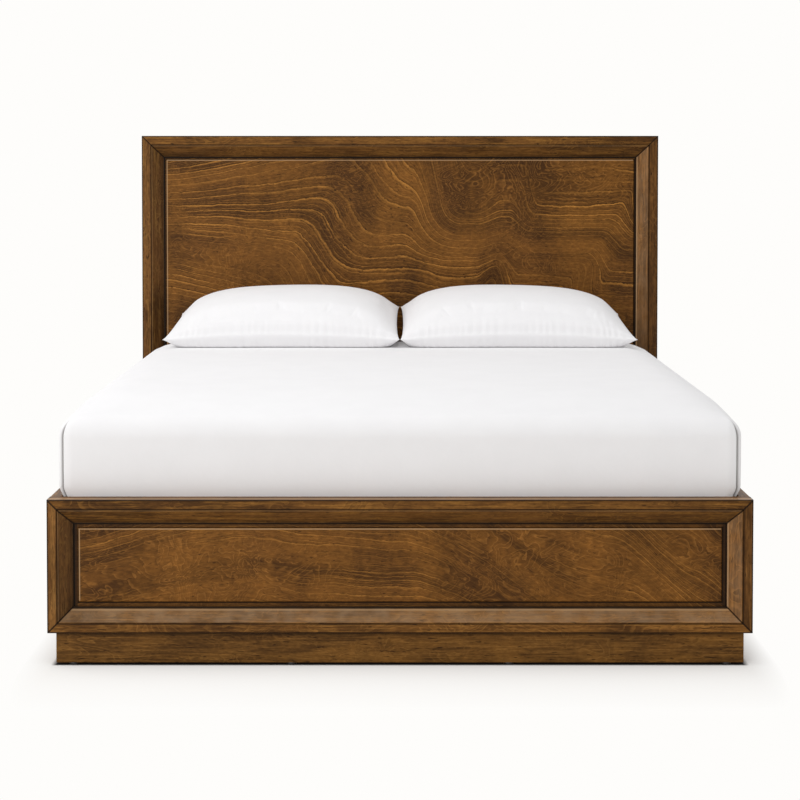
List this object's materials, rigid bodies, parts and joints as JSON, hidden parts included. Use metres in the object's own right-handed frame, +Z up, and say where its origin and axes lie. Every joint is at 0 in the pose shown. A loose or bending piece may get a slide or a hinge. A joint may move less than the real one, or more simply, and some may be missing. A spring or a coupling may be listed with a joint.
{
  "type": "panel bed",
  "caption": "Low panel bed with mitred, grooved and bevelled frame mouldings around raised veneer panels, a recessed plinth, a slatted base, a mattress in a fitted sheet and two pillows.",
  "frame": {"origin": "on the floor, under the middle of the bed", "axes": "+X to the right seen from the foot, +Y from the footboard to the headboard, +Z up"},
  "size_m": [1.6, 2.176, 1.229],
  "materials": {
    "frame_wood": "satin lacquer over walnut stain",
    "figured_veneer": "satin lacquer over walnut stain, figured veneer",
    "plinth_wood": "satin lacquer over walnut stain",
    "back_panel_wood": "thin lacquer over stained plywood",
    "support_wood": "planed, bare",
    "slat_wood": "planed, bare",
    "coated_steel": "black powder coat",
    "zinc_steel": "bright zinc plate",
    "black_plastic": "moulded, matt",
    "ticking": "knitted mattress ticking",
    "sheet_cotton": "plain woven cotton, matt",
    "pillow_ticking": "plain woven cotton, matt",
    "case_cotton": "plain woven cotton, matt"
  },
  "bodies": {
    "frame": {"headboard_top_rail": "frame_wood", "headboard_bottom_rail": "frame_wood", "headboard_left_stile": "frame_wood", "headboard_right_stile": "frame_wood", "headboard_panel": "figured_veneer", "headboard_back_panel": "back_panel_wood", "headboard_plinth": "plinth_wood", "footboard_top_rail": "frame_wood", "footboard_bottom_rail": "frame_wood", "footboard_left_stile": "frame_wood", "footboard_right_stile": "frame_wood", "footboard_panel": "figured_veneer", "footboard_back_panel": "back_panel_wood", "footboard_plinth": "plinth_wood", "mitre_splines": "support_wood", "side_rail_left": "frame_wood", "side_rail_right": "frame_wood", "ledger_left": "support_wood", "ledger_right": "support_wood", "side_plinth_left": "plinth_wood", "side_plinth_right": "plinth_wood", "plinth_glides": "black_plastic", "corner_bracket_head_left": "coated_steel", "corner_bracket_head_right": "coated_steel", "corner_bracket_foot_left": "coated_steel", "corner_bracket_foot_right": "coated_steel", "corner_bolts": "zinc_steel", "threaded_inserts": "zinc_steel", "bracket_screws": "zinc_steel", "ledger_screws": "zinc_steel", "slat_screws": "zinc_steel", "centre_beam": "support_wood", "beam_hanger_head": "coated_steel", "beam_hanger_foot": "coated_steel", "centre_leg_head": "support_wood", "centre_leg_middle": "support_wood", "centre_leg_foot": "support_wood", "slat_1": "slat_wood", "slat_2": "slat_wood", "slat_3": "slat_wood", "slat_4": "slat_wood", "slat_5": "slat_wood", "slat_6": "slat_wood", "slat_7": "slat_wood", "slat_8": "slat_wood", "slat_9": "slat_wood", "slat_10": "slat_wood", "slat_11": "slat_wood", "slat_12": "slat_wood", "slat_13": "slat_wood"},
    "mattress": {"mattress": "ticking", "fitted_sheet": "sheet_cotton"},
    "pillow_left": {"pillow_left": "pillow_ticking", "pillowcase_left": "case_cotton"},
    "pillow_right": {"pillow_right": "pillow_ticking", "pillowcase_right": "case_cotton"},
    "levelling_foot_head": {"levelling_foot_head": "black_plastic"},
    "levelling_foot_middle": {"levelling_foot_middle": "black_plastic"},
    "levelling_foot_foot": {"levelling_foot_foot": "black_plastic"}
  },
  "joints": [
    {"name": "mattress_lift", "type": "slide", "parent": "frame", "child": "mattress", "axis": [0, 0, 1], "range_m": [0, 0.35]},
    {"name": "pillow_left_lift", "type": "slide", "parent": "mattress", "child": "pillow_left", "axis": [0, 0, 1], "range_m": [0, 0.3]},
    {"name": "pillow_right_lift", "type": "slide", "parent": "mattress", "child": "pillow_right", "axis": [0, 0, 1], "range_m": [0, 0.3]},
    {"name": "head_foot_screw", "type": "slide", "parent": "frame", "child": "levelling_foot_head", "axis": [0, 0, -1], "range_m": [0, 0.012]},
    {"name": "middle_foot_screw", "type": "slide", "parent": "frame", "child": "levelling_foot_middle", "axis": [0, 0, -1], "range_m": [0, 0.012]},
    {"name": "foot_foot_screw", "type": "slide", "parent": "frame", "child": "levelling_foot_foot", "axis": [0, 0, -1], "range_m": [0, 0.012]}
  ]
}
